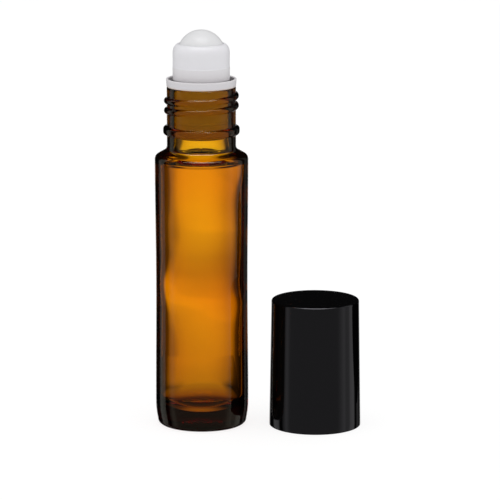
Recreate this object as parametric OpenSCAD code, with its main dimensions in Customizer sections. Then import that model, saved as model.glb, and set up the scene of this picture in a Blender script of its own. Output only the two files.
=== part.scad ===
/* [Glass body] */
// Widest diameter of the glass body, at its heel
body_d = 20; // [18:0.5:30]
// Height of the cylindrical wall above the table, up to where the shoulder starts to round
body_h = 58; // [40:1:90]
// How far the wall sinks in at half height
waist_sink = 0.15; // [0:0.05:0.6]
// Thickness of the glass wall
glass_t = 2.2; // [1.2:0.1:2.6]
// Thickness of the glass floor over the push-up
floor_t = 2.9; // [2:0.1:5]
// Inside corner radius where the wall meets the floor
floor_round = 3.2; // [1.5:0.1:4]
// Radius of the rounded edge that the bottle stands on
heel_round = 1.1; // [0.6:0.1:2]
// How much narrower the wall is at the heel's rounded edge
heel_draft = 0.4; // [0:0.05:0.8]
// Height above the table at which the wall reaches its widest
heel_h = 5; // [3:0.5:10]
// Depth of the push-up under the base
push_up = 0.9; // [0.4:0.1:1.6]
// Width of the flat ring that the bottle stands on
stand_ring_w = 0.8; // [0.4:0.1:1.5]

/* [Shoulder and neck] */
// Radius of the shoulder's outer edge
shoulder_round = 1.2; // [0.8:0.1:2.5]
// Slope of the shoulder, in degrees above level
shoulder_slope = 30; // [20:1:45]
// Radius of the hollow corner between shoulder and neck
neck_fillet = 1.1; // [0.6:0.1:1.6]
// Inside corner radius under the shoulder
shoulder_inner_round = 2.4; // [1:0.1:3]
// Outside diameter of the neck
neck_d = 14.76; // [13.6:0.02:15.2]
// Diameter of the straight bore in the neck
bore_d = 11.6; // [10.8:0.1:12.2]
// Height of the lip above the shoulder's outer edge
neck_h = 15.5; // [14:0.5:18]
// Radius of the lip's edges
lip_round = 0.35; // [0.1:0.05:0.5]
// Height of the transfer bead's middle below the lip
bead_drop = 9.45; // [9:0.05:9.9]
// Height of the transfer bead
bead_h = 1.8; // [1.4:0.1:2.4]
// How far the transfer bead stands out of the neck
bead_out = 0.81; // [0.4:0.05:0.95]

/* [Screw thread] */
// Rise of the thread in one turn
thread_pitch = 2.1; // [1.8:0.1:2.4]
// How far the neck's thread stands out
thread_out = 0.6; // [0.4:0.05:0.7]
// Width of a thread ridge at its foot
thread_foot_w = 1.1; // [0.8:0.05:1.2]
// Width of a thread ridge at its crest
thread_crest_w = 0.45; // [0.3:0.05:0.6]
// Height of the top start of the neck's thread below the lip
thread_drop = 1.825; // [1.6:0.05:2.2]
// Turns of thread on the neck
neck_thread_turns = 1.66; // [1:0.1:2]
// Turns of thread in the cap
cap_thread_turns = 1.5; // [1:0.1:1.5]
// Direction that the top start of the neck's thread faces, in degrees from the right
thread_start = 30; // [0:5:360]
// Clearance between the two threads where they pass each other
thread_gap = 0.14; // [0.1:0.01:0.25]

/* [Roller housing] */
// Clearance of the plug's sealing beads in the bore
plug_gap = 0.04; // [0.02:0.01:0.09]
// Length of the plug below the lip
plug_l = 10.7; // [8:0.1:13]
// Thickness of the plug's skirt
plug_t = 1.0; // [0.7:0.05:1.4]
// How far each sealing bead stands out of the plug
plug_bead_out = 0.16; // [0.08:0.02:0.3]
// Height of each sealing bead
plug_bead_h = 0.8; // [0.5:0.1:1.2]
// Spacing of the sealing beads
plug_bead_step = 2.4; // [1.6:0.1:2.8]
// Number of sealing beads
plug_beads = 3; // [2:1:3]
// Thickness of the flange that sits on the lip
flange_t = 0.6; // [0.5:0.1:1.2]
// Height of the rim's top above the lip
rim_h = 1.7; // [1.3:0.1:2.2]
// Thickness of the rim
rim_t = 0.45; // [0.4:0.05:0.8]
// How much wider the rim is at its top than the neck
rim_flare = 0.12; // [0:0.02:0.3]
// Outside diameter of the cup that holds the ball
cup_d = 12.18; // [12.1:0.02:12.6]
// Width of the crown's rounded shoulder
crown_round_w = 1.3; // [1:0.05:1.35]
// Height of the crown's rounded shoulder
crown_round_h = 1.9; // [1.5:0.1:2.4]
// Height of the crown's top edge above the ball's centre
crown_over = 2.15; // [2.1:0.05:2.8]
// Diameter of the throat below the ball
throat_d = 6.8; // [5:0.1:7.2]
// Height of the throat below the seat
throat_h = 1.3; // [0.8:0.1:1.6]
// Number of feed grooves in the seat
feed_grooves = 4; // [3:1:6]
// Width of a feed groove
feed_groove_w = 0.8; // [0.5:0.1:1.2]
// Depth of a feed groove, outwards from the throat
feed_groove_depth = 0.9; // [0.5:0.1:1]

/* [Ball] */
// Diameter of the ball
ball_d = 10.2; // [10.1:0.05:10.3]
// Running clearance of the ball in its socket
ball_gap = 0.1; // [0.05:0.01:0.15]
// Height of the ball's centre above the lip
ball_h = 7.0; // [6.6:0.1:8]

/* [Cap] */
// Thickness of the cap's wall at its mouth
cap_wall_t = 1.4; // [1:0.05:2.4]
// How much narrower the cap is at its top
cap_taper = 0.85; // [0:0.05:1.2]
// Radius of the cap's top edge
cap_edge_round = 0.35; // [0.2:0.05:0.8]
// Width of the bevel round the mouth
cap_mouth_bevel = 0.2; // [0.1:0.05:0.4]
// Thickness of the cap's closed top
cap_top_t = 1.3; // [1:0.1:2]
// Space between the ball and the cap's inside top
cap_head_gap = 0.5; // [0.3:0.05:1]
// Clearance of the cap's mouth above the shoulder
cap_mouth_gap = 0.2; // [0.15:0.05:0.6]
// Clearance of the cap's mouth round the transfer bead
cap_bead_gap = 0.26; // [0.15:0.01:0.4]
// Clearance of the cap's threaded wall round the neck's thread
cap_root_gap = 0.3; // [0.2:0.05:0.4]
// Clearance of the cap's upper wall round the rim
cap_rim_gap = 0.4; // [0.2:0.05:0.8]
// Clearance above the transfer bead to where the cap's mouth narrows
cap_step_gap = 0.4; // [0.2:0.05:0.6]
// Radius of the inside corner under the top
cap_inner_round = 0.8; // [0.3:0.1:1.2]
// Middle diameter of the sealing ring inside the top
seal_ring_d = 5.2; // [4:0.1:6]
// Thickness of the sealing ring
seal_ring_t = 0.7; // [0.5:0.05:1]
// Clearance between the sealing ring and the ball
seal_gap = 0.1; // [0.05:0.01:0.2]

/* [Cap taken off] */
// Space between the bottle and the cap that stands beside it
cap_apart = 4.5; // [2:0.1:40]
// How far the cap stands forward of the bottle's middle
cap_forward = 1.6; // [-20:0.1:20]

/* [Hidden] */
$fn = 96;

// How far a cutting shape runs past what it cuts
overrun = 0.5;
// How far a thread ridge is rooted in its wall
thread_root = 0.25;
// Steps of a thread ridge in one turn
thread_steps = 36;
// Length over which a thread ridge rises at each end, in turns
thread_lead_share = 0.05;
// Least height of a thread ridge at its ends, as a share of its full height
thread_end_share = 0.1;
// Steps of a curved stretch of an outline
curve_steps = 8;
// How square the transfer bead's outline is: 2 is an ellipse
bead_power = 3;
// Width of the taper at the tip of the plug, as a share of its skirt
plug_tip_share = 0.4;

body_r = body_d / 2;
stand_r = body_r - heel_draft - heel_round;
neck_r = neck_d / 2;
bore_r = bore_d / 2;
lip_z = body_h + neck_h;
bead_z = lip_z - bead_drop;
bead_r = neck_r + bead_out;

// Where the shoulder's edge ends and its slope starts, and where the slope meets the neck's hollow corner
slope_top_r = body_r - shoulder_round + shoulder_round * sin(shoulder_slope);
slope_top_z = body_h + shoulder_round * cos(shoulder_slope);
slope_end_r = neck_r + neck_fillet - neck_fillet * sin(shoulder_slope);
function slope_z(r) = slope_top_z + (slope_top_r - r) * tan(shoulder_slope);
fillet_z = slope_z(slope_end_r) + neck_fillet * cos(shoulder_slope);

inner_r = body_r - glass_t;
floor_z = push_up + floor_t;
inner_slope_r = bore_r + neck_fillet;
inner_top_z = body_h - shoulder_inner_round / 2;

ball_r = ball_d / 2;
ball_z = lip_z + ball_h;
socket_r = ball_r + ball_gap;
crown_z = ball_z + crown_over;
cup_r = cup_d / 2;
throat_r = throat_d / 2;
seat_z = ball_z - sqrt(pow(socket_r, 2) - pow(throat_r, 2));
rim_r = neck_r + rim_flare;
plug_bead_r = bore_r - plug_gap;
plug_r = plug_bead_r - plug_bead_out;
plug_inner_r = plug_r - plug_t;

cap_bead_r = bead_r + cap_bead_gap;
cap_mouth_r = cap_bead_r + cap_wall_t;
cap_top_r = cap_mouth_r - cap_taper / 2;
cap_root_r = neck_r + thread_out + cap_root_gap;
cap_upper_r = rim_r + cap_rim_gap;
cap_crest_r = neck_r + thread_gap;
// Height of the cap's mouth, of its thread and of its top when it is screwed on
cap_on_z = slope_z(cap_bead_r) + cap_mouth_gap;
cap_h = ball_z + ball_r + cap_head_gap + cap_top_t - cap_on_z;
cap_step_z = bead_z + bead_h / 2 + cap_step_gap - cap_on_z;
cap_narrow_z = lip_z - cap_on_z;
cap_inner_h = cap_h - cap_top_t;
seal_r = seal_ring_d / 2;
seal_tip_z = ball_z + sqrt(pow(ball_r, 2) - pow(seal_r - seal_ring_t / 2, 2)) + seal_gap - cap_on_z;
cap_x = body_r + cap_apart + cap_mouth_r;
cap_y = -cap_forward;

// Points of an arc or ellipse about [r, z], from one angle to another
function arc(r, z, rx, rz, from, to, steps = curve_steps) =
    [for (i = [0:steps]) let (a = from + (to - from) * i / steps) [r + rx * cos(a), z + rz * sin(a)]];

// Outline of a ring that stands out of a wall by out, with a rounded flat crest
function ring_bulge(r, z, out, h, power, steps = 2 * curve_steps) =
    [for (i = [0:steps]) let (t = -cos(180 * i / steps))
        [r + out * pow(1 - pow(abs(t), power), 1 / power), z + t * h / 2]];

// A ridge that winds round the Z axis from the angle start upwards, with its foot sunk into a wall of radius foot_r
module thread_ridge(foot_r, crest_r, start, start_z, turns) {
    steps = round(turns * thread_steps);
    rooted_r = foot_r + (foot_r > crest_r ? thread_root : -thread_root);
    function lift(t) = thread_end_share + (1 - thread_end_share)
        * min(1, t * turns / thread_lead_share, (1 - t) * turns / thread_lead_share);
    function ring(t) = let (a = start + 360 * turns * t, z = start_z + thread_pitch * turns * t,
        r = foot_r + (crest_r - foot_r) * lift(t), foot = thread_foot_w / 2, crest = thread_crest_w / 2)
        [[rooted_r * cos(a), rooted_r * sin(a), z - foot], [r * cos(a), r * sin(a), z - crest],
         [r * cos(a), r * sin(a), z + crest], [rooted_r * cos(a), rooted_r * sin(a), z + foot]];
    points = [for (i = [0:steps]) each ring(i / steps)];
    sides = [for (i = [0:steps - 1], k = [0:3]) each [
        [4 * i + k, 4 * i + (k + 1) % 4, 4 * i + 4 + k],
        [4 * i + (k + 1) % 4, 4 * i + 4 + (k + 1) % 4, 4 * i + 4 + k]]];
    ends = [[0, 2, 1], [0, 3, 2], [4 * steps, 4 * steps + 1, 4 * steps + 2],
        [4 * steps, 4 * steps + 2, 4 * steps + 3]];
    inward = foot_r > crest_r;
    polyhedron(points = points, faces = [for (f = concat(sides, ends)) inward ? [f[2], f[1], f[0]] : f]);
}

// Outside of the bottle, from the middle of the base up to the lip
module bottle_outer() {
    wall_h = body_h - heel_h;
    heel_r = body_r - heel_draft;
    polygon(concat(
        [[0, 0]],
        arc(stand_r, heel_round, heel_round, heel_round, -90, 0),
        [for (i = [1:curve_steps - 1]) let (t = i / curve_steps)
            [heel_r + heel_draft * (1 - pow(1 - t, 2)), heel_round + (heel_h - heel_round) * t]],
        [for (i = [0:curve_steps]) let (t = i / curve_steps)
            [body_r - waist_sink * pow(sin(180 * t), 2), heel_h + wall_h * t]],
        arc(body_r - shoulder_round, body_h, shoulder_round, shoulder_round, 10, 90 - shoulder_slope),
        arc(neck_r + neck_fillet, fillet_z, neck_fillet, neck_fillet, 270 - shoulder_slope, 180),
        ring_bulge(neck_r, bead_z, bead_out, bead_h, bead_power),
        arc(neck_r - lip_round, lip_z - lip_round, lip_round, lip_round, 0, 90, curve_steps / 2),
        [[0, lip_z]]));
}

// Hollow of the bottle, from the floor up through the neck
module bottle_inner() {
    polygon(concat(
        [[0, floor_z]],
        arc(inner_r - floor_round, floor_z + floor_round, floor_round, floor_round, -90, 0),
        arc(inner_r - shoulder_inner_round, inner_top_z, shoulder_inner_round, shoulder_inner_round, 0, 60),
        arc(inner_slope_r, fillet_z, neck_fillet, neck_fillet, 240, 180),
        [[bore_r, lip_z + overrun], [0, lip_z + overrun]]));
}

module push_up_hollow() {
    hollow_r = stand_r - stand_ring_w;
    dome_r = (pow(hollow_r, 2) + pow(push_up, 2)) / (2 * push_up);
    translate([0, 0, push_up - dome_r])
        sphere(r = dome_r);
}

// Amber glass bottle with a screw neck
module glass_bottle() {
    color([0.62, 0.28, 0.02, 0.8])
    union() {
        difference() {
            rotate_extrude() bottle_outer();
            rotate_extrude() bottle_inner();
            push_up_hollow();
        }
        neck_start = thread_start - 360 * neck_thread_turns;
        thread_ridge(neck_r, neck_r + thread_out, neck_start,
            lip_z - thread_drop - thread_pitch * neck_thread_turns, neck_thread_turns);
    }
}

// Outline of the housing: plug, flange with its rim and trough, cup and crown
module housing_outline() {
    plug_tip_z = lip_z - plug_l;
    tip_w = plug_t * plug_tip_share;
    trough_z = lip_z + flange_t;
    rim_z = lip_z + rim_h;
    polygon(concat(
        [[plug_inner_r, plug_tip_z], [plug_r - tip_w, plug_tip_z], [plug_r, plug_tip_z + tip_w]],
        [for (i = [1:plug_beads]) each ring_bulge(plug_r, plug_tip_z + plug_bead_step * (i - 1 / 2), plug_bead_out,
            plug_bead_h, 2, curve_steps)],
        [[plug_r, lip_z], [neck_r, lip_z], [rim_r, rim_z], [rim_r - rim_t, rim_z], [neck_r - rim_t, trough_z],
            [cup_r, trough_z]],
        arc(cup_r - crown_round_w, crown_z - crown_round_h, crown_round_w, crown_round_h, 0, 90),
        [[0, crown_z], [0, seat_z - throat_h], [throat_r, seat_z - throat_h],
            [plug_inner_r, seat_z - throat_h - (plug_inner_r - throat_r)]]));
}

// Roller housing pressed into the neck
module roller_housing() {
    color([0.93, 0.94, 0.95])
    difference() {
        rotate_extrude() housing_outline();
        translate([0, 0, ball_z]) sphere(r = socket_r);
        translate([0, 0, seat_z - throat_h - overrun]) cylinder(r = throat_r, h = throat_h + 2 * overrun);
        for (i = [0:feed_grooves - 1])
            rotate([0, 0, 360 * i / feed_grooves])
                translate([0, -feed_groove_w / 2, seat_z - throat_h / 2])
                    cube([throat_r + feed_groove_depth, feed_groove_w, throat_h + feed_groove_depth]);
    }
}

// Ball that rolls in the housing
module roller_ball() {
    color([0.95, 0.95, 0.95])
    translate([0, 0, ball_z]) sphere(r = ball_r);
}

// Outline of the cap, mouth down
module cap_outline() {
    polygon(concat(
        [[cap_bead_r, 0], [cap_mouth_r - cap_mouth_bevel, 0], [cap_mouth_r, cap_mouth_bevel]],
        arc(cap_top_r - cap_edge_round, cap_h - cap_edge_round, cap_edge_round, cap_edge_round, 0, 90),
        [[0, cap_h], [0, cap_inner_h]],
        [[seal_r - seal_ring_t / 2, cap_inner_h], [seal_r - seal_ring_t / 2, seal_tip_z],
            [seal_r + seal_ring_t / 2, seal_tip_z], [seal_r + seal_ring_t / 2, cap_inner_h]],
        arc(cap_upper_r - cap_inner_round, cap_inner_h - cap_inner_round, cap_inner_round, cap_inner_round, 90, 0),
        [[cap_upper_r, cap_narrow_z], [cap_root_r, cap_narrow_z - (cap_root_r - cap_upper_r)],
            [cap_root_r, cap_step_z], [cap_bead_r, cap_step_z - (cap_bead_r - cap_root_r)]]));
}

// Screw cap, standing on its mouth beside the bottle
module cap() {
    turns_above = (neck_thread_turns - cap_thread_turns) / 2;
    start = thread_start - 360 * (cap_thread_turns + turns_above);
    start_z = lip_z - thread_drop - thread_pitch * (cap_thread_turns + turns_above + 1 / 2) - cap_on_z;
    color([0.06, 0.06, 0.07])
    translate([cap_x, cap_y, 0])
    union() {
        rotate_extrude() cap_outline();
        thread_ridge(cap_root_r, cap_crest_r, start, start_z, cap_thread_turns);
    }
}

glass_bottle();
roller_housing();
roller_ball();
cap();
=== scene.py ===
"""Looks for a small amber glass roll-on bottle with its black screw cap taken off and stood beside it."""

import logging
import math
from collections.abc import Callable
from dataclasses import dataclass, field, replace
from enum import Enum

import bmesh
import bpy
from mathutils import Matrix, Vector


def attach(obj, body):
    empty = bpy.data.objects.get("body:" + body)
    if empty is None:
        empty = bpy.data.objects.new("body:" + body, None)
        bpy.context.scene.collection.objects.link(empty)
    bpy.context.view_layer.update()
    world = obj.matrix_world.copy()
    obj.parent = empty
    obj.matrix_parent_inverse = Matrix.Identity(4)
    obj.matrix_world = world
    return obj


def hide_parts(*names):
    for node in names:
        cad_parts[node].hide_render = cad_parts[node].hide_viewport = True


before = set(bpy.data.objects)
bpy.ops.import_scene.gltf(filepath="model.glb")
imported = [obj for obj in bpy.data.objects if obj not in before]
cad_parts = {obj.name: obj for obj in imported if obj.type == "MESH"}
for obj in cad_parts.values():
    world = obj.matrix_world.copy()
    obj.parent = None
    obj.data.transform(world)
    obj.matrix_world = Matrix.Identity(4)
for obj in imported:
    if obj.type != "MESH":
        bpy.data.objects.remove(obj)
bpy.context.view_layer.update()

logging.basicConfig(level=logging.INFO, format="%(message)s")
log = logging.getLogger("roll_on_bottle")

MM = 0.001
MERGE_DISTANCE = 1e-7
# Degrees in a radian.
DEGREES = math.degrees(1.0)
# Millimetres within which a point counts as on a wall.
NEAR = 0.02

Colour = tuple[float, float, float]
Place = tuple[float, float, float]
Stops = tuple[tuple[float, float | Colour], ...]

WHITE: Colour = (1.0, 1.0, 1.0)


class Slot(Enum):
    """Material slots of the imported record."""

    AMBER_GLASS = "amber_glass"
    NATURAL_PLASTIC = "natural_plastic"
    WHITE_PLASTIC = "white_plastic"
    BLACK_PLASTIC = "black_plastic"


class Body(Enum):
    """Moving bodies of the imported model."""

    BOTTLE = "bottle"
    FITTING = "roller_fitting"
    BALL = "ball"
    CAP = "screw_cap"


class Wall(Enum):
    """Which side of a moulding a point of its outline lies on."""

    OUTSIDE = 0
    INSIDE = 1


# Shader wiring


class Wire:
    """An output of a shader node, with arithmetic that adds Math nodes."""

    def __init__(self, bench: "Bench", socket: bpy.types.NodeSocket) -> None:
        """Keeps the bench that the socket belongs to."""
        self.bench = bench
        self.socket = socket

    def __add__(self, other: "Wire | float") -> "Wire":
        """Sum."""
        return self.bench.math("ADD", self, other)

    __radd__ = __add__

    def __sub__(self, other: "Wire | float") -> "Wire":
        """Difference."""
        return self.bench.math("SUBTRACT", self, other)

    def __rsub__(self, other: float) -> "Wire":
        """Difference, number first."""
        return self.bench.math("SUBTRACT", other, self)

    def __mul__(self, other: "Wire | float") -> "Wire":
        """Product."""
        return self.bench.math("MULTIPLY", self, other)

    __rmul__ = __mul__


class Bench:
    """A node tree under work."""

    def __init__(self, tree: bpy.types.NodeTree) -> None:
        """Clears the node tree of a material or world."""
        self.tree = tree
        self.tree.nodes.clear()

    def node(self, kind: str, settings: dict | None = None, inputs: dict | None = None) -> bpy.types.Node:
        """Adds a node.

        Args:
            kind: Node type.
            settings: Properties of the node, set first; "stops" holds a ramp's positions and colours.
            inputs: Values or wires for its sockets, by socket name or number.

        Returns:
            The new node.
        """
        made = self.tree.nodes.new(kind)
        for name, value in (settings or {}).items():
            if name == "stops":
                self.set_stops(made, value)
            else:
                setattr(made, name, value)
        for name, value in (inputs or {}).items():
            if isinstance(value, Wire):
                self.tree.links.new(value.socket, made.inputs[name])
            else:
                made.inputs[name].default_value = value
        return made

    @staticmethod
    def set_stops(made: bpy.types.Node, stops: list[tuple[float, Colour]]) -> None:
        """Gives a colour ramp its stops.

        Args:
            made: The ramp.
            stops: Position and colour of each.
        """
        elements = made.color_ramp.elements
        while len(elements) < len(stops):
            elements.new(1.0)
        for element, (place, colour) in zip(elements, stops):
            element.position = place
            element.color = (*colour, 1.0)

    def wire(self, kind: str, output: str | int, settings: dict | None = None,
             inputs: dict | None = None) -> Wire:
        """Adds a node and takes the output with the given name or number."""
        return Wire(self, self.node(kind, settings, inputs).outputs[output])

    def outputs(self, kind: str, names: tuple[str, ...] | str, inputs: dict | None = None) -> list[Wire]:
        """Adds a node and takes the outputs with the given names."""
        made = self.node(kind, {}, inputs)
        return [Wire(self, made.outputs[name]) for name in names]

    def math(self, operation: str, *values: "Wire | float") -> Wire:
        """Adds a Math node on values."""
        return self.wire("ShaderNodeMath", 0, {"operation": operation}, dict(enumerate(values)))

    def step(self, value: Wire, low: float, high: float) -> Wire:
        """Rises smoothly from 0 at low to 1 at high."""
        return self.wire("ShaderNodeMapRange", 0, {"interpolation_type": "SMOOTHSTEP"},
                         {"Value": value, "From Min": low, "From Max": high})

    def window(self, value: Wire, low: float, low_full: float, high_full: float, high: float) -> Wire:
        """Rises smoothly from 0 at low, is 1 between the full values and falls to 0 at high."""
        return self.step(value, low, low_full) * (1.0 - self.step(value, high_full, high))

    def spread(self, value: Wire, low: float, high: float) -> Wire:
        """Maps a value of 0 to 1 onto low to high."""
        return self.wire("ShaderNodeMapRange", 0, {}, {"Value": value, "To Min": low, "To Max": high})

    def blend(self, share: Wire, first: "Wire | Colour", second: "Wire | Colour") -> Wire:
        """Mixes two colours, the first at a share of 0 and the second at a share of 1."""
        ends = [end if isinstance(end, Wire) else (*end, 1.0) for end in (first, second)]
        return self.wire("ShaderNodeMix", 2, {"data_type": "RGBA"}, {0: share, 6: ends[0], 7: ends[1]})

    def ramp(self, value: Wire, stops: Stops) -> Wire:
        """Reads a value off a scale.

        Args:
            value: The value.
            stops: Values in rising order, each with its level or colour.

        Returns:
            The level or colour at the value.
        """
        first, last = stops[0][0], stops[-1][0]
        tones = [((stop - first) / (last - first), tone if isinstance(tone, tuple) else (tone, tone, tone))
                 for stop, tone in stops]
        share = (value - first) * (1.0 / (last - first))
        return self.wire("ShaderNodeValToRGB", 0, {"stops": tones}, {0: share})

    def place(self, scale: Place = (1.0, 1.0, 1.0)) -> Wire:
        """Object coordinates, stretched by a scale on each axis."""
        where = self.wire("ShaderNodeTexCoord", "Object")
        return self.wire("ShaderNodeMapping", 0, {}, {"Vector": where, "Scale": scale})

    def cloud(self, where: Wire, grain: float, detail: float = 2.0) -> Wire:
        """Soft noise whose patches are about grain millimetres across."""
        return self.wire("ShaderNodeTexNoise", 0, {},
                         {"Vector": where, "Scale": 1.0 / (grain * MM), "Detail": detail})

    def bump(self, height: Wire, depth: float) -> Wire:
        """Normal for a surface that rises by depth millimetres where the height is 1."""
        return self.wire("ShaderNodeBump", 0, {}, {"Height": height, "Distance": depth * MM, "Strength": 1.0})


def new_bench(name: str) -> tuple[bpy.types.Material, Bench]:
    """Starts a material with nodes.

    Args:
        name: Name of the finish.

    Returns:
        The material and its bench.
    """
    material = bpy.data.materials.new(name)
    material.use_nodes = True
    return material, Bench(material.node_tree)


# Finishes


@dataclass(frozen=True)
class AmberGlass:
    """Amber container glass, coloured right through."""

    slot: Slot = Slot.AMBER_GLASS
    refraction: float = 1.52
    front_sheen: Colour = (1.0, 0.95, 0.7)
    absorb_colour: Colour = (0.992, 0.851, 0.0)
    absorb_density: float = 1825.0
    ripple_grain: float = 5.0
    ripple_depth: float = 0.004

    def material(self) -> bpy.types.Material:
        """Builds the glass with a faint ripple left by the mould."""
        material, bench = new_bench(self.slot.value)
        where = bench.place((1.0, 1.0, 0.5))
        ripple = bench.bump(bench.cloud(where, self.ripple_grain, 1.0), self.ripple_depth)
        surface = bench.wire("ShaderNodeBsdfPrincipled", 0, {}, {
            "Base Color": (*WHITE, 1.0),
            "Roughness": 0.0,
            "IOR": self.refraction,
            "Transmission Weight": 1.0,
            "Specular Tint": (*self.front_sheen, 1.0),
            "Normal": ripple,
        })
        inside = bench.wire("ShaderNodeVolumeAbsorption", 0, {}, {
            "Color": (*self.absorb_colour, 1.0),
            "Density": self.absorb_density,
        })
        bench.node("ShaderNodeOutputMaterial", {}, {"Surface": surface, "Volume": inside})
        return material


@dataclass(frozen=True)
class PaintedHollowShade:
    """Painted shade in a hollow round the axis, where little light gets in, in millimetres."""

    reach: float
    bottom: float
    top: float
    light_left: float
    side_soft: float = 0.1
    bottom_soft: float = 0.15
    top_soft: float = 0.3

    def light(self, bench: Bench, away: Wire, z: Wire) -> Wire:
        """Level that the painted shade leaves at a distance from the axis and a height."""
        near = 1.0 - bench.step(away, self.reach - self.side_soft, self.reach + self.side_soft)
        inside = near * bench.window(z, self.bottom - self.bottom_soft, self.bottom,
                                     self.top - self.top_soft, self.top)
        return 1.0 - inside * (1.0 - self.light_left)


@dataclass(frozen=True)
class MouldedPlastic:
    """Soft waxy plastic, pale or dark, with a fine moulded skin."""

    slot: Slot
    colour: Colour
    deep_colour: Colour
    roughness: tuple[float, float]
    glow: float
    glow_reach: float
    patch_grain: float
    skin_grain: float
    wave_grain: float
    wave_depth: float
    skin_depth: float = 0.002
    refraction: float = 1.5
    sheen: Colour = WHITE
    # Painted light and shade: levels or colours by height, and painted shade in a hollow round the axis.
    shade: Stops = ()
    hollow: PaintedHollowShade | None = None

    def material(self) -> bpy.types.Material:
        """Builds the plastic."""
        material, bench = new_bench(self.slot.value)
        where = bench.place()
        patch = bench.cloud(where, self.patch_grain, 3.0)
        skin = bench.cloud(where, self.skin_grain, 2.0)
        wave = bench.cloud(where, self.wave_grain, 1.0)
        height = skin * self.skin_depth + wave * self.wave_depth
        tone = self.paint_light_and_shade(bench, bench.blend(patch, self.colour, self.deep_colour))
        surface = bench.wire("ShaderNodeBsdfPrincipled", 0, {}, {
            "Base Color": tone,
            "Roughness": bench.spread(patch, *self.roughness),
            "IOR": self.refraction,
            "Specular Tint": (*self.sheen, 1.0),
            "Subsurface Weight": self.glow,
            "Subsurface Radius": (1.0, 1.0, 1.0),
            "Subsurface Scale": self.glow_reach * MM,
            "Normal": bench.bump(height, 1.0),
        })
        bench.node("ShaderNodeOutputMaterial", {}, {"Surface": surface})
        return material

    def paint_light_and_shade(self, bench: Bench, tone: Wire) -> Wire:
        """Paints light and shade into a tone by height, and painted shade into the hollow, where little light
        gets in.

        Args:
            bench: Bench of the material.
            tone: The plain tone.

        Returns:
            The tone with its painted light and shade.
        """
        if not self.shade:
            return tone
        where = bench.wire("ShaderNodeTexCoord", "Object")
        x, y, z = (axis * (1.0 / MM) for axis in bench.outputs("ShaderNodeSeparateXYZ", "XYZ", {0: where}))
        # Painted light and shade by height.
        tone = bench.wire("ShaderNodeVectorMath", 0, {"operation": "MULTIPLY"}, {
            0: tone, 1: bench.ramp(z, self.shade)})
        if self.hollow is None:
            return tone
        # Painted shade in the hollow.
        light = self.hollow.light(bench, bench.math("SQRT", x * x + y * y), z)
        return bench.wire("ShaderNodeVectorMath", 0, {"operation": "SCALE"}, {0: tone, "Scale": light})


# Turned mouldings


def new_object(name: str, shell: bmesh.types.BMesh, material: bpy.types.Material) -> bpy.types.Object:
    """Turns a shell into an object of the scene.

    Args:
        name: Name of the object.
        shell: Its shape, freed here.
        material: Its finish.

    Returns:
        The object, at the origin.
    """
    mesh = bpy.data.meshes.new(name)
    shell.to_mesh(mesh)
    shell.free()
    mesh.materials.append(material)
    made = bpy.data.objects.new(name, mesh)
    bpy.context.scene.collection.objects.link(made)
    return made


@dataclass
class Outline:
    """A turned outline, as radius and height in millimetres."""

    points: list[tuple[float, float]] = field(default_factory=list)
    walls: list[Wall] = field(default_factory=list)
    wall: Wall = Wall.OUTSIDE

    def at(self, radius: float, height: float) -> None:
        """Adds a point."""
        self.points.append((radius, height))
        self.walls.append(self.wall)

    def run(self, radius: float, height: float, step: float) -> None:
        """Adds a straight run.

        Args:
            radius: Radius at its end.
            height: Height at its end.
            step: Longest spacing of its points.
        """
        start_radius, start_height = self.points[-1]
        length = math.dist((start_radius, start_height), (radius, height))
        count = max(1, math.ceil(length / step))
        for index in range(1, count + 1):
            share = index / count
            self.at(start_radius + (radius - start_radius) * share,
                    start_height + (height - start_height) * share)

    def arc(self, centre: tuple[float, float], reach: float | tuple[float, float],
            angles: tuple[float, float], steps: int) -> None:
        """Adds an arc or a stretch of an ellipse.

        Args:
            centre: Radius and height of its middle.
            reach: Its radius, or its reach outwards and upwards.
            angles: First and last angle in degrees.
            steps: Number of steps.
        """
        wide, tall = reach if isinstance(reach, tuple) else (reach, reach)
        first, last = (math.radians(angle) for angle in angles)
        for index in range(steps + 1):
            angle = first + (last - first) * index / steps
            self.at(centre[0] + wide * math.cos(angle), centre[1] + tall * math.sin(angle))

    def curve(self, shape: Callable[[float], tuple[float, float]], steps: int) -> None:
        """Adds a curve that a function gives for shares above 0 and up to 1."""
        for index in range(1, steps + 1):
            self.at(*shape(index / steps))

    def flow(self, marks: tuple[tuple[float, float], ...], steps: int) -> None:
        """Adds a soft curve from the first mark to the last, pulled towards the marks between.

        Args:
            marks: Radius and height of each mark.
            steps: Number of steps for each mark between.
        """
        points = [Vector(mark) for mark in marks]
        joins = [points[0], *((one + two) / 2 for one, two in zip(points[1:-2], points[2:-1])), points[-1]]
        for start, pull, end in zip(joins, points[1:-1], joins[1:]):
            for index in range(1, steps + 1):
                share = index / steps
                self.at(*(start * (1 - share) ** 2 + pull * 2 * share * (1 - share) + end * share ** 2))

    def bead(self, radius: float, height: float, out: float, tall: float, power: float, steps: int,
             root: float = 0.0) -> None:
        """Adds a ring that stands out of a wall.

        Args:
            radius: Radius of the wall.
            height: Height of the ring's middle.
            out: How far it stands out.
            tall: Its height.
            power: 2 for a round crest, more for a squarer one.
            steps: Number of steps.
            root: Radius of the hollow corner where its top meets the wall.
        """
        for index in range(steps + 1):
            share = -math.cos(math.pi * index / steps)
            crest = (1.0 - abs(share) ** power) ** (1.0 / power)
            if share < 0.0 or out * crest > root:
                self.at(radius + out * crest, height + share * tall / 2)
        if root:
            self.arc((radius + root, height + tall / 2 + root), root, (-90.0, -180.0), 6)


@dataclass(frozen=True)
class Spot:
    """A point of a turned shape, in millimetres, and in degrees round its axis."""

    wall: Wall
    radius: float
    angle: float
    z: float


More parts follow.
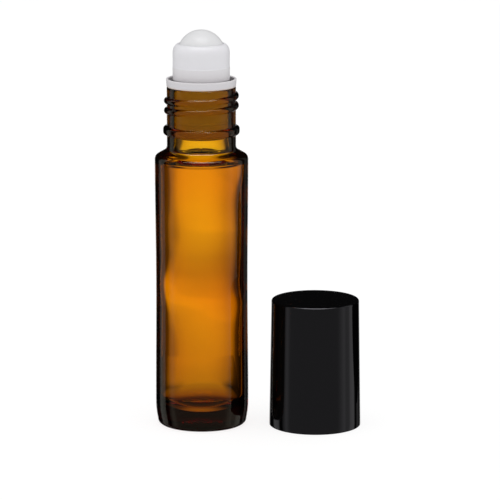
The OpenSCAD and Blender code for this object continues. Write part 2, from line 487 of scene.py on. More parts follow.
@dataclass(frozen=True)
class Moulding:
    """A shell turned from an outline round an upright axis."""

    shell: bmesh.types.BMesh
    centre: tuple[float, float] = (0.0, 0.0)

    @classmethod
    def turned(cls, outline: Outline, segments: int, closed: bool,
               centre: tuple[float, float] = (0.0, 0.0)) -> "Moulding":
        """Spins an outline once round.

        Args:
            outline: Outline with its points in order.
            segments: Steps in the full turn.
            closed: Whether the last point joins the first, as in a piece with a hole through it.
            centre: Place of the axis in millimetres.

        Returns:
            The moulding. Its faces point outwards where the turned line shuts it.
        """
        shell = bmesh.new()
        side = shell.verts.layers.int.new("side")
        middle = Vector((centre[0] * MM, centre[1] * MM, 0.0))
        rail = []
        for (radius, height), wall in zip(outline.points, outline.walls):
            point = shell.verts.new(middle + Vector((radius * MM, 0.0, height * MM)))
            point[side] = wall.value
            rail.append(point)
        ends = rail[1:] + rail[:1] if closed else rail[1:]
        edges = [shell.edges.new(pair) for pair in zip(rail, ends)]
        bmesh.ops.spin(shell, geom=rail + edges, cent=middle, axis=(0.0, 0.0, 1.0), dvec=(0.0, 0.0, 0.0),
                       angle=2 * math.pi, steps=segments, use_merge=True, use_normal_flip=False,
                       use_duplicate=False)
        bmesh.ops.remove_doubles(shell, verts=shell.verts, dist=MERGE_DISTANCE)
        bmesh.ops.recalc_face_normals(shell, faces=shell.faces)
        return cls(shell, centre)

    def press(self, shape: Callable[[Spot], tuple[float, float]]) -> None:
        """Moves every point by a rule.

        Args:
            shape: Gives a point's moves outwards and upwards, in millimetres.
        """
        side = self.shell.verts.layers.int["side"]
        middle = Vector((self.centre[0] * MM, self.centre[1] * MM, 0.0))
        for point in self.shell.verts:
            arm = point.co - middle
            radius = math.hypot(arm.x, arm.y)
            angle = math.atan2(arm.y, arm.x)
            out, up = shape(Spot(Wall(point[side]), radius / MM, math.degrees(angle), arm.z / MM))
            point.co += Vector((math.cos(angle) * out * MM, math.sin(angle) * out * MM, up * MM))

    def hand_over(self, node: str, body: Body, finish: AmberGlass | MouldedPlastic, crease: float) -> None:
        """Turns the shell into an object at the origin, attaches it to its body and hides the CAD part that
        it stands for.

        Args:
            node: Node that it stands for.
            body: Body that it moves with.
            finish: Its finish.
            crease: Angle in degrees above which an edge stays sharp.
        """
        for layer in self.shell.verts.layers.int.values():
            self.shell.verts.layers.int.remove(layer)
        for face in self.shell.faces:
            face.smooth = True
        for edge in self.shell.edges:
            edge.smooth = edge.calc_face_angle(0.0) < math.radians(crease)
        piece = new_object(node + "_looks", self.shell, finish.material())
        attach(piece, body.value)
        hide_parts(node)
        piece.data.calc_loop_triangles()
        log.info("%s: %d triangles on %s", piece.name, len(piece.data.loop_triangles), body.value)


@dataclass(frozen=True)
class ThreadRidge:
    """A right-hand thread ridge, measured from its top start down."""

    height: float
    top_z: float
    turns: float
    pitch: float = 2.1
    foot_width: float = 1.1
    power: float = 3.4
    start_angle: float = 30.0
    lead_turns: float = 0.05
    margin: float = 0.65
    row_step: float = 0.05

    @property
    def low_z(self) -> float:
        """Height just below the ridge's end."""
        return self.top_z - self.pitch * self.turns - self.margin

    @property
    def high_z(self) -> float:
        """Height just above the ridge's start."""
        return self.top_z + self.margin

    def slide(self, spot: Spot) -> float:
        """Drop that keeps the rows of points near the ridge in line with it, in millimetres."""
        near = self.low_z - self.row_step < spot.z < self.high_z + self.row_step
        return self.pitch * ((self.start_angle - spot.angle) / 360.0 % 1.0) % self.row_step if near else 0.0

    def rise(self, angle: float, z: float) -> float:
        """Height of the ridge above its wall.

        Args:
            angle: Direction in degrees.
            z: Height in millimetres.

        Returns:
            How far the surface stands out of the wall, in millimetres.
        """
        turn = ((self.start_angle - angle) / 360.0) % 1.0
        best = 0.0
        while turn <= self.turns:
            lead = min(1.0, turn / self.lead_turns, (self.turns - turn) / self.lead_turns)
            across = min(1.0, abs(z - self.top_z + self.pitch * turn) * 2 / self.foot_width)
            best = max(best, self.height * lead * (1.0 - across ** self.power) ** (1.0 / self.power))
            turn += 1.0
        return best


def smooth_weights(share: float) -> tuple[float, float, float, float]:
    """Weights of four evenly spaced marks for a smooth curve between the middle two."""
    return ((-share + 2 * share ** 2 - share ** 3) / 2, (2 - 5 * share ** 2 + 3 * share ** 3) / 2,
            (share + 4 * share ** 2 - 3 * share ** 3) / 2, (share ** 3 - share ** 2) / 2)


@dataclass(frozen=True)
class BlownWall:
    """Uneven inside wall of the blown body, with the wave where the hot glass settled.

    The marks, evenly spaced from low_z to high_z, hold how far the wall lies outside its mean radius, in
    hundredths of a millimetre, to the left, front left, front, front right and right. The back is even.
    """

    low_z: float = 8.0
    high_z: float = 58.0
    mark_unit: float = 0.01
    marks: tuple[tuple[int, int, int, int, int], ...] = (
        (28, -30, -35, -25, 7), (29, -30, -27, -20, 12), (29, -26, -17, -14, 14), (30, -24, -13, -11, 13),
        (31, -20, -13, -16, 8), (35, -13, -22, -32, 4), (36, -9, -44, -57, -3), (35, -30, -71, -70, -19),
        (29, -42, -62, -57, -8), (30, -23, -29, -34, 10), (36, -6, 6, -11, 22), (40, -2, 25, 1, 26),
        (40, -1, 23, -4, 21), (35, -2, 16, -16, 15), (29, -12, -2, -25, 17), (27, -21, -15, -30, 33),
        (30, -23, -18, -29, 36),
    )

    def row(self, index: int) -> tuple[float, ...]:
        """Offsets at a mark in eight directions, from the right anticlockwise."""
        left, front_left, front, front_right, right = self.marks[min(len(self.marks) - 1, max(0, index))]
        return (right, right / 2, 0.0, left / 2, left, front_left, front, front_right)

    def offset(self, angle: float, z: float) -> float:
        """Offset of the wall.

        Args:
            angle: Direction in degrees.
            z: Height in millimetres.

        Returns:
            How far the wall lies outside its mean radius, in millimetres.
        """
        step = (self.high_z - self.low_z) / (len(self.marks) - 1)
        up = min(len(self.marks) - 1.001, max(0.0, (z - self.low_z) / step))
        turn = (angle % 360.0) / 45.0
        total = 0.0
        for row, up_weight in enumerate(smooth_weights(up % 1.0)):
            marks = self.row(int(up) + row - 1)
            for column, turn_weight in enumerate(smooth_weights(turn % 1.0)):
                total += up_weight * turn_weight * marks[(int(turn) + column - 1) % 8]
        return total * self.mark_unit


@dataclass
class GlassBottle:
    """The amber bottle, from its push-up to its lip."""

    body_r: float = 10.0
    body_h: float = 57.886
    waist_sink: float = 0.15
    inner_r: float = 7.8
    floor_z: float = 3.8
    floor_round: float = 3.2
    push_up: float = 0.9
    push_up_r: float = 7.7
    stand_r: float = 8.5
    heel_round: float = 1.1
    heel_r: float = 9.6
    heel_h: float = 5.0
    shoulder_round: float = 1.2
    shoulder_inside: tuple[tuple[float, float], ...] = (
        (5.8, 62.75), (5.8, 61.54), (6.12, 59.94), (6.91, 59.61), (7.17, 57.76), (7.8, 57.72), (7.8, 56.92),
    )
    even_z: float = 57.45
    even_fade: float = 0.35
    even_step: float = 0.08
    neck_r: float = 7.38
    neck_fillet: float = 1.336
    fillet_z: float = 60.863
    bore_r: float = 5.8
    lip_z: float = 73.5
    lip_round: float = 0.35
    mouth_round: float = 0.2
    bead_z: float = 64.1
    bead_h: float = 1.75
    bead_out: float = 0.81
    bead_root: float = 0.3
    neck_seam: float = 0.03
    body_seam: float = 0.008
    seam_width: float = 1.6
    seam_angle: float = 90.0
    seam_top_z: float = 73.0
    segments: int = 240
    thread: ThreadRidge = ThreadRidge(height=0.62, top_z=71.675, turns=1.66, foot_width=1.4, power=1.85,
                                      margin=0.75)
    wall: BlownWall = BlownWall()
    finish: AmberGlass = AmberGlass()

    def outline(self) -> Outline:
        """Draws the outside from the middle of the base to the lip, then the inside back down."""
        line = Outline()
        dome_r = (self.push_up_r ** 2 + self.push_up ** 2) / (2 * self.push_up)
        dome_end = math.degrees(math.asin(self.push_up_r / dome_r))
        line.arc((0.0, self.push_up - dome_r), dome_r, (90.0, 90.0 - dome_end), 12)
        line.run(self.stand_r, 0.0, 0.3)
        line.arc((self.stand_r, self.heel_round), self.heel_round, (-80.0, 0.0), 10)
        heel_draft = self.body_r - self.heel_r
        line.curve(lambda t: (self.heel_r + heel_draft * (1 - (1 - t) ** 2),
                              self.heel_round + (self.heel_h - self.heel_round) * t), 8)
        line.curve(lambda t: (self.body_r - self.waist_sink * math.sin(math.pi * t) ** 2,
                              self.heel_h + (self.body_h - self.heel_h) * t), 46)
        line.arc((self.body_r - self.shoulder_round, self.body_h), self.shoulder_round,
                 (6.0, 60.0), 10)
        line.arc((self.neck_r + self.neck_fillet, self.fillet_z), self.neck_fillet,
                 (240.0, 180.0), 10)
        line.run(self.neck_r, self.bead_z - self.bead_h / 2 - 0.1, 0.6)
        line.bead(self.neck_r, self.bead_z, self.bead_out, self.bead_h, 3.0, 26, self.bead_root)
        line.run(self.neck_r, self.thread.low_z, 0.4)
        line.run(self.neck_r, self.thread.high_z, self.thread.row_step)
        line.arc((self.neck_r - self.lip_round, self.lip_z - self.lip_round), self.lip_round,
                 (0.0, 90.0), 6)
        line.wall = Wall.INSIDE
        line.arc((self.bore_r + self.mouth_round, self.lip_z - self.mouth_round),
                 self.mouth_round, (90.0, 180.0), 4)
        line.run(*self.shoulder_inside[0], 0.8)
        line.flow(self.shoulder_inside, 8)
        line.run(self.inner_r, self.even_z - 2 * self.even_fade, self.even_step)
        line.run(self.inner_r, self.floor_z + self.floor_round, 0.75)
        line.arc((self.inner_r - self.floor_round, self.floor_z + self.floor_round),
                 self.floor_round, (-6.0, -90.0), 14)
        line.run(0.0, self.floor_z, 0.5)
        return line

    def mould(self, spot: Spot) -> tuple[float, float]:
        """Turns the plain shape into pressed and blown glass.

        Args:
            spot: Point of the plain shape.

        Returns:
            Its moves outwards and upwards.
        """
        if spot.wall is Wall.INSIDE:
            return self.mould_inside(spot), 0.0
        slide = self.thread.slide(spot)
        return self.mould_outside(replace(spot, z=spot.z - slide)), -slide

    def mould_outside(self, spot: Spot) -> float:
        """Raises the thread ridge and the faint mould seams.

        Args:
            spot: Point of the outside.

        Returns:
            Its move outwards.
        """
        if spot.radius < self.neck_r - NEAR or spot.z < self.heel_h:
            return 0.0
        seam = max(0.0, 1.0 - abs(abs(spot.angle) - self.seam_angle) / self.seam_width)
        if spot.z < self.body_h:
            return self.body_seam * seam * min(1.0, (self.body_r - spot.radius) / self.waist_sink)
        if spot.z < self.bead_z + self.bead_h / 2:
            return self.neck_seam * seam * min(1.0, max(0.0, spot.z - self.fillet_z))
        seam = self.neck_seam * seam * min(1.0, max(0.0, self.seam_top_z - spot.z))
        return max(self.thread.rise(spot.angle, spot.z), seam)

    def mould_inside(self, spot: Spot) -> float:
        """Makes the inside of the blown body uneven, fading out towards the floor and the neck.

        Args:
            spot: Point of the inside.

        Returns:
            Its move outwards.
        """
        share = min(1.0, max(0.0, (self.even_z - spot.z) / self.even_fade))
        if spot.z < self.floor_z + self.floor_round:
            share = min(share, (spot.radius - self.inner_r + self.floor_round) / self.floor_round)
        return self.wall.offset(spot.angle, spot.z) * share if share > 0.0 else 0.0

    def build(self) -> None:
        """Builds the bottle and hands it over."""
        moulding = Moulding.turned(self.outline(), self.segments, closed=False)
        moulding.press(self.mould)
        moulding.hand_over("glass_bottle", Body.BOTTLE, self.finish, 60.0)


@dataclass
class RollerHousing:
    """The pressed-in fitting: plug, flange with its rim and trough, cup and crown."""

    tip_z: float = 62.65
    plug_r: float = 5.6
    plug_inner_r: float = 4.6
    tip_taper: float = 0.4
    bead_out: float = 0.16
    bead_h: float = 0.8
    bead_step: float = 2.4
    bead_count: int = 3
    flange_r: float = 7.38
    flange_z: float = 73.5
    rim_r: float = 7.5
    rim_z: float = 75.2
    rim_t: float = 0.45
    trough_z: float = 74.1
    cup_r: float = 6.09
    crown_w: float = 1.27
    crown_h: float = 1.9
    crown_z: float = 82.65
    ball_z: float = 80.5
    socket_r: float = 5.2
    throat_r: float = 3.4
    throat_h: float = 1.3
    parting_z: float = 77.75
    parting_step: float = 0.03
    groove_count: int = 4
    groove_w: float = 0.8
    groove_depth: float = 0.9
    groove_low_z: float = 75.2
    groove_high_z: float = 77.276
    crown_flat: float = 0.03
    crown_open: float = 1.0
    edge: float = 0.1
    segments: int = 192
    finish: MouldedPlastic = MouldedPlastic(
        slot=Slot.NATURAL_PLASTIC, colour=(0.945, 0.935, 0.985), deep_colour=(0.92, 0.91, 0.955),
        roughness=(0.32, 0.42), glow=0.35, glow_reach=1.2, patch_grain=4.0, skin_grain=0.25, wave_grain=3.0,
        # Painted shade in the trough between rim and cup, and painted light and shade by height: the plug
        # darker inside the neck, a warm painted glow under the flange, a greyer band below the parting line
        # and a darker crown top.
        wave_depth=0.01, hollow=PaintedHollowShade(reach=7.15, bottom=74.1, top=75.2, light_left=0.4),
        shade=((62.0, 0.46), (71.5, 0.56), (73.3, (0.62, 0.6, 0.56)), (73.5, (0.8, 0.7, 0.55)),
               (73.75, (0.86, 0.82, 0.79)), (74.1, (0.86, 0.85, 0.84)), (75.3, (0.86, 0.84, 0.82)),
               (77.65, (0.93, 0.925, 0.9)), (77.8, 0.97), (80.8, 1.0), (83.0, 0.95)))

    def outline(self) -> Outline:
        """Draws the fitting from its tip up the outside, over the crown and down through the socket."""
        line = Outline()
        edge = self.edge
        line.at(self.plug_inner_r, self.tip_z + edge)
        line.at(self.plug_inner_r + edge, self.tip_z)
        line.at(self.plug_r - self.tip_taper, self.tip_z)
        line.at(self.plug_r, self.tip_z + self.tip_taper)
        for index in range(self.bead_count):
            line.bead(self.plug_r, self.tip_z + self.bead_step * (index + 0.5), self.bead_out, self.bead_h,
                      2.0, 8)
        line.run(self.plug_r, self.flange_z, 1.0)
        line.run(self.flange_r - edge, self.flange_z, 1.0)
        line.at(self.flange_r, self.flange_z + edge)
        line.run(self.rim_r, self.rim_z - edge, 0.4)
        line.arc((self.rim_r - edge, self.rim_z - edge), edge, (0.0, 90.0), 4)
        line.arc((self.rim_r - self.rim_t + edge, self.rim_z - edge), edge, (90.0, 180.0), 4)
        line.arc((self.flange_r - self.rim_t - edge, self.trough_z + edge), edge, (0.0, -90.0), 4)
        line.arc((self.cup_r + edge, self.trough_z + edge), edge, (-90.0, -180.0), 4)
        line.run(self.cup_r, self.parting_z, 0.4)
        line.at(self.cup_r - self.parting_step, self.parting_z + self.parting_step)
        line.arc((self.cup_r - self.parting_step - self.crown_w, self.crown_z - self.crown_h),
                 (self.crown_w, self.crown_h), (0.0, 84.0), 16)
        mouth_r = math.sqrt(self.socket_r ** 2 - (self.crown_z - self.ball_z) ** 2)
        line.at(mouth_r + self.crown_flat, self.crown_z)
        low = math.degrees(math.acos(self.throat_r / self.socket_r))
        high = math.degrees(math.acos(mouth_r / self.socket_r)) - self.crown_open
        line.arc((0.0, self.ball_z), self.socket_r, (high, -low), 24)
        seat_z = self.ball_z - math.sqrt(self.socket_r ** 2 - self.throat_r ** 2)
        line.run(self.throat_r, seat_z - self.throat_h, 0.2)
        line.run(self.plug_inner_r, seat_z - self.throat_h - (self.plug_inner_r - self.throat_r), 0.3)
        line.run(self.plug_inner_r, self.tip_z + 1.0, 1.0)
        return line

    def mould(self, spot: Spot) -> tuple[float, float]:
        """Cuts the feed grooves into the seat and throat.

        Args:
            spot: Point of the plain shape.

        Returns:
            Its moves outwards and upwards.
        """
        groove_r = self.throat_r + self.groove_depth
        spacing = 360.0 / self.groove_count
        across = math.radians(abs((spot.angle + spacing / 2) % spacing - spacing / 2)) * self.throat_r
        if (spot.radius > groove_r or not self.groove_low_z < spot.z < self.groove_high_z
                or across > self.groove_w / 2):
            return 0.0, 0.0
        return groove_r - spot.radius, 0.0

    def build(self) -> None:
        """Builds the fitting and hands it over."""
        moulding = Moulding.turned(self.outline(), self.segments, closed=True)
        moulding.press(self.mould)
        moulding.hand_over("roller_housing", Body.FITTING, self.finish, 40.0)


@dataclass
class RollerBall:
    """The ball, ground round, with the faint flat that its gate left."""

    radius: float = 5.1
    centre_z: float = 80.5
    gate_r: float = 0.5
    gate_depth: float = 0.03
    gate_way: Place = (-0.6, 0.7, -0.39)
    subdivisions: int = 7
    finish: MouldedPlastic = MouldedPlastic(
        slot=Slot.WHITE_PLASTIC, colour=(0.82, 0.82, 0.83), deep_colour=(0.79, 0.79, 0.80),
        roughness=(0.26, 0.36), glow=0.25, glow_reach=1.0, patch_grain=3.0, skin_grain=0.3, wave_grain=2.5,
        wave_depth=0.006, refraction=1.4)

    def build(self) -> None:
        """Builds the ball and hands it over."""
        shell = bmesh.new()
        bmesh.ops.create_icosphere(shell, subdivisions=self.subdivisions, radius=self.radius * MM)
        gate = Vector(self.gate_way).normalized() * self.radius
        for point in shell.verts:
            reach = (point.co / MM - gate).length / self.gate_r
            if reach < 1.0:
                point.co *= 1.0 - self.gate_depth / self.radius * (1.0 - reach * reach)
        bmesh.ops.translate(shell, verts=shell.verts, vec=(0.0, 0.0, self.centre_z * MM))
        Moulding(shell).hand_over("roller_ball", Body.BALL, self.finish, 60.0)


@dataclass
class ScrewCap:
    """The cap, standing on its mouth, with its thread and sealing ring inside."""

    centre: tuple[float, float] = (24.35, -1.6)
    height: float = 27.612
    mouth_r: float = 9.85
    top_r: float = 9.425
    bevel: float = 0.2
    edge_round: float = 0.45
    bead_r: float = 8.45
    step_z: float = 5.56
    root_r: float = 8.28
    narrow_z: float = 13.71
    upper_r: float = 7.9
    inside_top: float = 26.312
    inner_round: float = 0.8
    seal_inner_r: float = 2.25
    seal_outer_r: float = 2.95
    seal_tip_z: float = 25.39
    edge: float = 0.1
    segments: int = 240
    thread: ThreadRidge = ThreadRidge(height=0.76, top_z=10.67, turns=1.5)
    finish: MouldedPlastic = MouldedPlastic(
        slot=Slot.BLACK_PLASTIC, colour=(0.0022, 0.0021, 0.0024), deep_colour=(0.0016, 0.0016, 0.0018),
        roughness=(0.05, 0.09), glow=0.0, glow_reach=0.1, patch_grain=6.0, skin_grain=0.5, wave_grain=5.0,
        wave_depth=0.004, skin_depth=0.0003, refraction=1.67, sheen=(0.95, 0.93, 1.0))

    def outline(self) -> Outline:
        """Draws the cap from its mouth up the outside to the top, then the inside back down."""
        line = Outline()
        line.at(self.bead_r + self.edge, 0.0)
        line.arc((self.mouth_r - self.bevel, self.bevel), self.bevel, (-90.0, 0.0), 5)
        line.run(self.top_r, self.height - self.edge_round, 1.2)
        line.arc((self.top_r - self.edge_round, self.height - self.edge_round),
                 self.edge_round, (4.0, 90.0), 8)
        line.run(0.0, self.height, 0.9)
        line.wall = Wall.INSIDE
        line.at(0.0, self.inside_top)
        line.run(self.seal_inner_r, self.inside_top, 0.8)
        line.run(self.seal_inner_r, self.seal_tip_z + self.edge, 0.5)
        line.at(self.seal_inner_r + self.edge, self.seal_tip_z)
        line.at(self.seal_outer_r - self.edge, self.seal_tip_z)
        line.at(self.seal_outer_r, self.seal_tip_z + self.edge)
        line.run(self.seal_outer_r, self.inside_top, 0.5)
        line.arc((self.upper_r - self.inner_round, self.inside_top - self.inner_round),
                 self.inner_round, (90.0, 0.0), 6)
        line.run(self.upper_r, self.narrow_z, 1.0)
        line.at(self.root_r, self.narrow_z - (self.root_r - self.upper_r))
        line.run(self.root_r, self.thread.high_z, 0.6)
        line.run(self.root_r, self.thread.low_z, 0.1)
        line.run(self.root_r, self.step_z, 0.6)
        line.at(self.bead_r, self.step_z - (self.bead_r - self.root_r))
        line.run(self.bead_r, self.edge, 0.8)
        return line

    def mould(self, spot: Spot) -> tuple[float, float]:
        """Raises the inside thread.

        Args:
            spot: Point of the plain shape.

        Returns:
            Its moves outwards and upwards.
        """
        if spot.wall is Wall.INSIDE and abs(spot.radius - self.root_r) < NEAR:
            return -self.thread.rise(spot.angle, spot.z), 0.0
        return 0.0, 0.0

    def build(self) -> None:
        """Builds the cap and hands it over.

        The outline's ends stay apart, which leaves a slit as wide as the edge round the mouth, and the
        inside's faces point into the wall.
        """
        moulding = Moulding.turned(self.outline(), self.segments, False, self.centre)
        moulding.press(self.mould)
        moulding.hand_over("cap", Body.CAP, self.finish, 50.0)


# Studio


@dataclass(frozen=True)
class Panel:
    """A lit field of the studio round the object, in degrees seen from the object.

    Azimuth 0 is straight behind the object and turns to the right.
    """

    azimuth: float
    level: float
    left: float
    left_soft: float
    right: float
    right_soft: float
    low: float = -40.0
    low_soft: float = 15.0
    high: float = 40.0
    high_soft: float = 15.0


@dataclass(frozen=True)
class Backdrop:
    """Lit field behind the bottle as the glass sees it, as stops of angle in degrees and level."""

    across: Stops = (
        (-60, 0), (-40, 0.012), (-31, 0.05), (-21, 0.06), (-16, 0.1), (-12, 0.165), (-9, 0.84), (-6, 0.95),
        (0, 1), (3, 0.98), (6, 0.88), (11, 0.62), (16, 0.12), (21, 0.05), (29, 0.02), (40, 0.005), (60, 0),
    )
    upward: Stops = (
        (-60, 0.75), (-35, 0.8), (-26, 0.66), (-20, 0.56), (-16, 0.62), (-13.5, 0.77), (-12, 0.84),
        (-10.8, 0.89), (-10.2, 1), (-9, 1.03), (-6, 1), (1, 0.9), (6, 0.05),
    )

    def light(self, bench: Bench, angle: Wire, rise: Wire) -> Wire:
        """Light from a direction, given by its angle to the right and its elevation in degrees."""
        return bench.ramp(angle, self.across) * bench.ramp(rise, self.upward)


@dataclass(frozen=True)
class Studio:
    """Pale table, white surround, lamps and the camera."""

    camera_place: Place = (0.01034, -0.70836, 0.18276)
    camera_tilt: float = 78.45
    lens: float = 242.71
    sensor: float = 36.0
    floor_size: float = 6.0
    floor_glow: float = 0.84
    floor_colour: float = 0.2
    lamp_place: Place = (0.0, -0.15, 0.75)
    lamp_aim: Place = (0.0, 0.0, 0.04)
    lamp_size: tuple[float, float] = (0.5, 0.35)
    lamp_power: float = 1.0
    card_place: Place = (48.9, 8.4, 22.0)
    card_size: Place = (8.6, 21.5, 1.0)
    card_turn: float = 50.0
    # Glowing patch of table under the bottle, seen only by the glass: a painted shadow by distance from
    # under_shadow_y, tinted greener near the bottle, and a painted bright crescent seen after a reflection
    # inside the glass.
    under_place: Place = (0.0, 23.0, 0.0)
    under_size: Place = (20.0, 35.0, 1.0)
    under_shadow_y: float = 4.0
    under_away: Stops = (
        (0, 0.005), (3, 0.01), (5.5, 0.04), (7.6, 0.1), (8.7, 0.2), (9.5, 0.28), (10.3, 0.34), (12.3, 0.4),
        (16, 0.48), (22, 0.53), (26, 0.62), (34, 0.63), (46, 0.69), (56, 0.74),
    )
    under_across: Stops = (
        (-26, 0), (-13, 0.1), (-10.5, 0.4), (-8.6, 0.6), (-6.5, 0.92), (0, 1), (6, 0.9), (8.4, 0.36),
        (10.7, 0.04), (26, 0),
    )
    under_far: tuple[float, float] = (26.0, 38.0)
    under_reach: tuple[float, float] = (39.0, 18.0)
    under_mirrored: float = 0.1
    under_tint: Colour = (0.85, 1.0, 0.85)
    under_tint_fade: tuple[float, float] = (20.0, 56.0)
    under_mirrored_tint: Colour = (0.5, 1.0, 0.5)
    crescent_level: float = 0.5
    crescent_along: Stops = (
        (-9.4, 0), (-8.8, 0.5), (-7.5, 0.85), (-6.3, 1), (-2, 0.95), (0, 0.5), (2, 0),
    )
    crescent_across: Stops = (
        (-8.5, 0.1), (-7.1, 0.2), (-5.7, 0.3), (-4.4, 0.63), (-3, 0.88), (-1, 1), (1, 0.95), (2, 0.85),
        (3.3, 0.63), (4.6, 0.36), (5.9, 0.12), (7.2, 0),
    )
    surround_share: float = 0.8
    soft_level: float = 1.02
    dark_level: float = 0.004
    cavity_passes: float = 3.0
    inner_bounce: float = 0.28
    inner_bounce_rise: tuple[float, float, float, float] = (-15.0, -13.0, -10.0, -8.0)
    solid_base: float = 0.012
    backdrop: Backdrop = Backdrop()
    backdrop_level: float = 1.22
    beside_glass: tuple[Panel, ...] = (
        Panel(-90, 0.9, 14, 14, 14, 14, -8, 6, -8, 2),
        Panel(-90, 0.9, 9, 4, 9, 4, -6, 2, 4, 5),
        Panel(-45, 0.9, 14, 14, 14, 14, -32, 5, -20, 2),
        Panel(135, 0.9, 14, 14, 14, 14, -19, 4, -9, 4),
    )
    in_gloss: tuple[Panel, ...] = (
        Panel(0, 0.9, 14, 8, 14, 8, -60, 15, -4, 3),
        Panel(72, 0.5, 6, 9, 6, 6),
        Panel(92, 0.3, 8, 6, 2, 30),
        Panel(41, 0.1, 4, 8, 4, 8),
        Panel(-64, 0.45, 8, 8, 6, 12),
        Panel(-100, 0.18, 2, 12, 6, 8),
        Panel(180, 2.8, 85, 15, 85, 15, 60, 6, 88, 1),
        Panel(180, 0.2, 78, 10, 78, 10, -70, 15, 45),
    )

    def set_camera(self) -> None:
        """Sets up the camera at the photograph's angle."""
        data = bpy.data.cameras.new("camera")
        data.sensor_width = self.sensor
        data.lens = self.lens
        camera = bpy.data.objects.new("camera", data)
        camera.location = self.camera_place
        camera.rotation_euler = (math.radians(self.camera_tilt), 0.0, 0.0)
        bpy.context.scene.collection.objects.link(camera)
        bpy.context.scene.camera = camera

    def lay_floor(self) -> None:
        """Lays the table, which glows white to the camera and keeps the object's shadow."""
        shell = bmesh.new()
        bmesh.ops.create_grid(shell, x_segments=1, y_segments=1, size=self.floor_size / 2)
        material, bench = new_bench("table_white")
        lit = bench.wire("ShaderNodeBsdfDiffuse", 0, {}, {"Color": (*[self.floor_colour] * 3, 1.0)})
        glow = bench.wire("ShaderNodeEmission", 0, {}, {"Strength": self.floor_glow})
        both = bench.wire("ShaderNodeAddShader", 0, {}, {0: lit, 1: glow})
        bench.node("ShaderNodeOutputMaterial", {}, {"Surface": both})
        self.set_stage("table", shell, material, ("diffuse", "glossy", "transmission"))

    def stand_black_card(self) -> None:
        """Stands an oval black card beside the cap, which only shows as the dark band in its gloss."""
        shell = bmesh.new()
        bmesh.ops.create_circle(shell, cap_ends=True, segments=96, radius=1.0)
        turn = Matrix.Rotation(-math.radians(self.card_turn), 4, "Z") @ Matrix.Rotation(math.pi / 2, 4, "X")
        move = Matrix.Translation(Vector(self.card_place) * MM)
        scale = Matrix.Diagonal((*(Vector(self.card_size) * MM), 1.0))
        bmesh.ops.transform(shell, matrix=move @ turn @ scale, verts=shell.verts)
        material, bench = new_bench("card_black")
        black = bench.wire("ShaderNodeBsdfDiffuse", 0, {}, {"Color": (0.0, 0.0, 0.0, 1.0)})
        bench.node("ShaderNodeOutputMaterial", {}, {"Surface": black})
        self.set_stage("black_card", shell, material, ("camera", "diffuse", "transmission", "shadow"))

    def lay_table_under_base(self) -> None:
        """Lays a glowing patch of table round the bottle's base, with a painted soft shadow and a painted
        bright crescent, which only the glass sees.
        """
        shell = bmesh.new()
        scale = Matrix.Diagonal((*(Vector(self.under_size) * MM), 1.0))
        bmesh.ops.create_grid(shell, x_segments=1, y_segments=1, size=1.0,
                              matrix=Matrix.Translation(Vector(self.under_place) * MM) @ scale)
        material, bench = new_bench("table_under_base")
        where = bench.wire("ShaderNodeTexCoord", "Object")
        offset = bench.wire("ShaderNodeVectorMath", "Value", {"operation": "DISTANCE"}, {
            0: where, 1: (0.0, self.under_shadow_y * MM, 0.0)})
        x, y = (axis * (1.0 / MM) for axis in bench.outputs("ShaderNodeSeparateXYZ", "XY", {0: where}))
        left_reach, right_reach = self.under_reach
        reach = bench.math("LESS_THAN", x, 0.0) * (left_reach - right_reach) + right_reach
        near = bench.ramp(x, self.under_across)
        far = bench.ramp(bench.math("ARCTAN2", x, y + reach) * DEGREES, self.backdrop.across)
        mixed = near + bench.step(y, *self.under_far) * (far - near)
        # Painted shadow on the glowing patch, by distance from its middle and across.
        shadow = bench.ramp(offset * (1.0 / MM), self.under_away) * mixed
        # Painted bright crescent of light.
        crescent = bench.ramp(x, self.crescent_across) * bench.ramp(y, self.crescent_along)
        bounced, passed = bench.outputs("ShaderNodeLightPath", ("Glossy Depth", "Transmission Depth"))
        bounce = bench.math("MINIMUM", bounced, 1.0)
        shallow = bench.math("LESS_THAN", passed, self.cavity_passes)
        straight = shadow * (1.0 - shallow * (1.0 - self.solid_base))
        mirrored = shadow * self.under_mirrored * (1.0 - shallow) + crescent * self.crescent_level * shallow
        tint = bench.blend(bench.step(y, *self.under_tint_fade), self.under_tint, WHITE)
        glow = bench.wire("ShaderNodeEmission", 0, {}, {
            "Color": bench.blend(bounce, tint, self.under_mirrored_tint),
            "Strength": straight + bounce * (mirrored - straight)})
        bench.node("ShaderNodeOutputMaterial", {}, {"Surface": glow})
        self.set_stage("table_under_base", shell, material, ("camera", "diffuse", "glossy", "shadow"))

    @staticmethod
    def set_stage(name: str, shell: bmesh.types.BMesh, material: bpy.types.Material,
                  passed_by: tuple[str, ...]) -> None:
        """Puts a piece of the stage in place.

        Args:
            name: Its name.
            shell: Its shape.
            material: Its finish.
            passed_by: Kinds of ray that pass it by.
        """
        thing = new_object(name, shell, material)
        for kind in passed_by:
            setattr(thing, "visible_" + kind, False)

    def panel_light(self, bench: Bench, panel: Panel, way: tuple[Wire, Wire], rise: Wire) -> Wire:
        """Works out what one panel gives in a direction.

        Args:
            bench: Bench of the world.
            panel: The panel.
            way: X and Y of the direction.
            rise: Elevation in degrees.

        Returns:
            The light from the panel.
        """
        turn = math.radians(panel.azimuth)
        across = way[0] * math.cos(turn) - way[1] * math.sin(turn)
        along = way[0] * math.sin(turn) + way[1] * math.cos(turn)
        angle = bench.math("ARCTAN2", across, along) * DEGREES
        wide = bench.window(angle, -panel.left - panel.left_soft, -panel.left, panel.right,
                            panel.right + panel.right_soft)
        tall = bench.window(rise, panel.low - panel.low_soft, panel.low, panel.high,
                            panel.high + panel.high_soft)
        return wide * tall * panel.level

    def panels_light(self, bench: Bench, panels: tuple[Panel, ...], way: tuple[Wire, Wire],
                     rise: Wire) -> Wire:
        """Adds up what panels give in a direction, with the little light of dark places."""
        return sum((self.panel_light(bench, panel, way, rise) for panel in panels), self.dark_level)

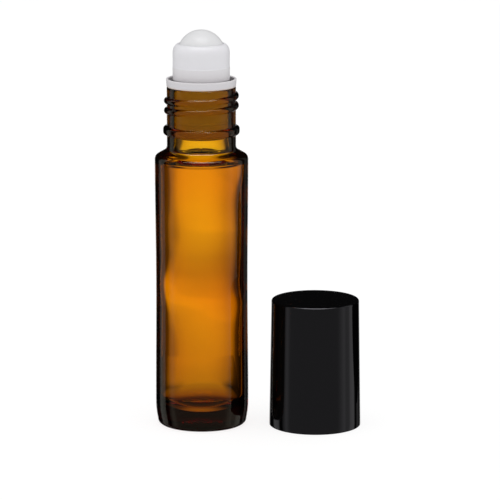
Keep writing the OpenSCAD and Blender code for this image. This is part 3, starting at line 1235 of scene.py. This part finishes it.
    def light_world(self) -> None:
        """Lights the surround: white to the camera, lit fields to glass and gloss, soft elsewhere."""
        world = bpy.data.worlds.new("studio")
        world.use_nodes = True
        bpy.context.scene.world = world
        bench = Bench(world.node_tree)
        way = bench.wire("ShaderNodeTexCoord", "Generated")
        x, y, z = bench.outputs("ShaderNodeSeparateXYZ", "XYZ", {0: way})
        rise = bench.math("ARCSINE", z) * DEGREES
        behind = self.backdrop.light(bench, bench.math("ARCTAN2", x, y) * DEGREES, rise)
        beside, gloss = (self.panels_light(bench, panels, (x, y), rise) for panels in (
            self.beside_glass, self.in_gloss))
        camera, glossy, through, diffused, bounced, passed = bench.outputs("ShaderNodeLightPath", (
            "Is Camera Ray", "Is Glossy Ray", "Is Transmission Ray", "Diffuse Depth", "Glossy Depth",
            "Transmission Depth"))
        bounce = bench.math("MINIMUM", bounced, 1.0)
        shallow = bench.math("LESS_THAN", passed, self.cavity_passes)
        lit_rise = bench.window(rise, *self.inner_bounce_rise)
        wall = bounce * lit_rise * self.inner_bounce + (1.0 - bounce) * self.solid_base
        seen = behind * ((1.0 - shallow) * self.backdrop_level + shallow * wall)
        seen = seen + beside * (1.0 - bounce) + self.dark_level
        studio = through * seen + (1.0 - through) * glossy * gloss
        sharp = bench.math("MAXIMUM", glossy, through) * (1.0 - bench.math("MINIMUM", diffused, 1.0))
        level = sharp * studio + (1.0 - sharp) * self.soft_level
        level = camera + (1.0 - camera) * level * self.surround_share
        glow = bench.wire("ShaderNodeBackground", 0, {}, {"Color": (*WHITE, 1.0), "Strength": level})
        bench.node("ShaderNodeOutputWorld", {}, {"Surface": glow})

    def hang_lamp(self) -> None:
        """Hangs the soft overhead lamp."""
        data = bpy.data.lights.new("overhead", "AREA")
        data.shape = "RECTANGLE"
        data.size, data.size_y = self.lamp_size
        data.energy = self.lamp_power
        lamp = bpy.data.objects.new("overhead", data)
        lamp.location = self.lamp_place
        lamp.rotation_euler = (Vector(self.lamp_aim) - lamp.location).to_track_quat("-Z", "Y").to_euler()
        bpy.context.scene.collection.objects.link(lamp)

    def build(self) -> None:
        """Sets up the whole studio."""
        bpy.context.scene.view_settings.view_transform = "Standard"
        self.set_camera()
        self.lay_floor()
        self.lay_table_under_base()
        self.stand_black_card()
        self.light_world()
        self.hang_lamp()


def main() -> None:
    """Builds the studio and the four pieces."""
    Studio().build()
    for maker in (GlassBottle(), RollerHousing(), RollerBall(), ScrewCap()):
        maker.build()


if __name__ == "__main__":
    main()
